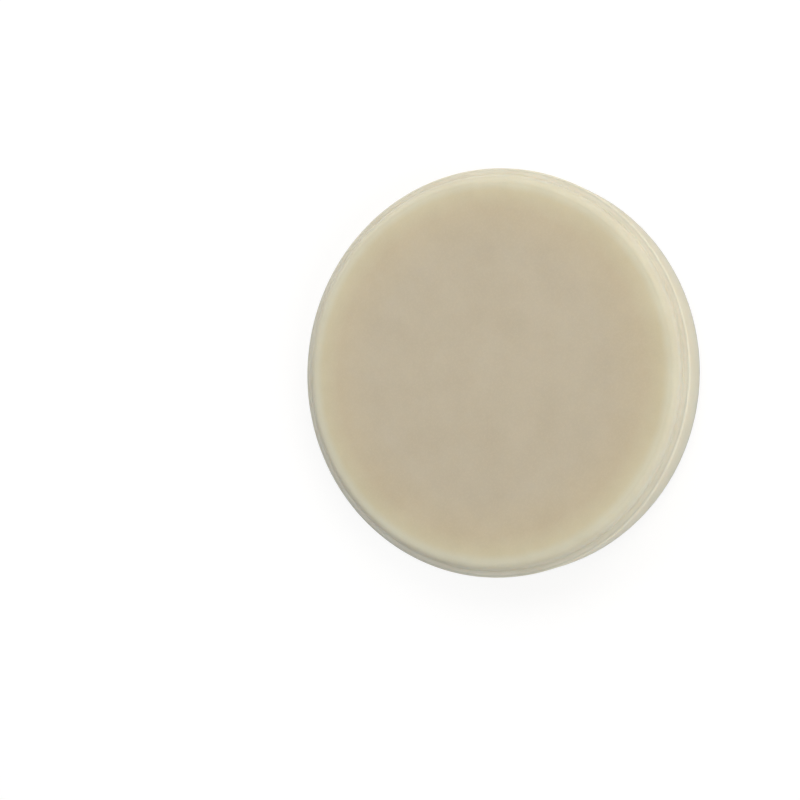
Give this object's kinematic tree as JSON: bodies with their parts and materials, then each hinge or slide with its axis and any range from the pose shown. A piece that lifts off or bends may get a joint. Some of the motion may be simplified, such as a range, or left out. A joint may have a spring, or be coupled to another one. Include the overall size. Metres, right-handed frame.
{
  "type": "dental milling disc",
  "caption": "Round slab of tooth-shade plastic with soft-edged flat faces and a raised collar round its rim, which a milling machine's holder ring grips.",
  "frame": {"origin": "centre of the back face, which the disc rests on", "axes": "+Z along the disc's axis, from the back face to the front face; the disc is round, so +X and +Y are free"},
  "size_m": [0.0984, 0.0984, 0.014],
  "materials": {
    "tooth_shade_resin": "satin, slightly translucent"
  },
  "bodies": {
    "root": {"milling_disc": "tooth_shade_resin"}
  },
  "joints": []
}
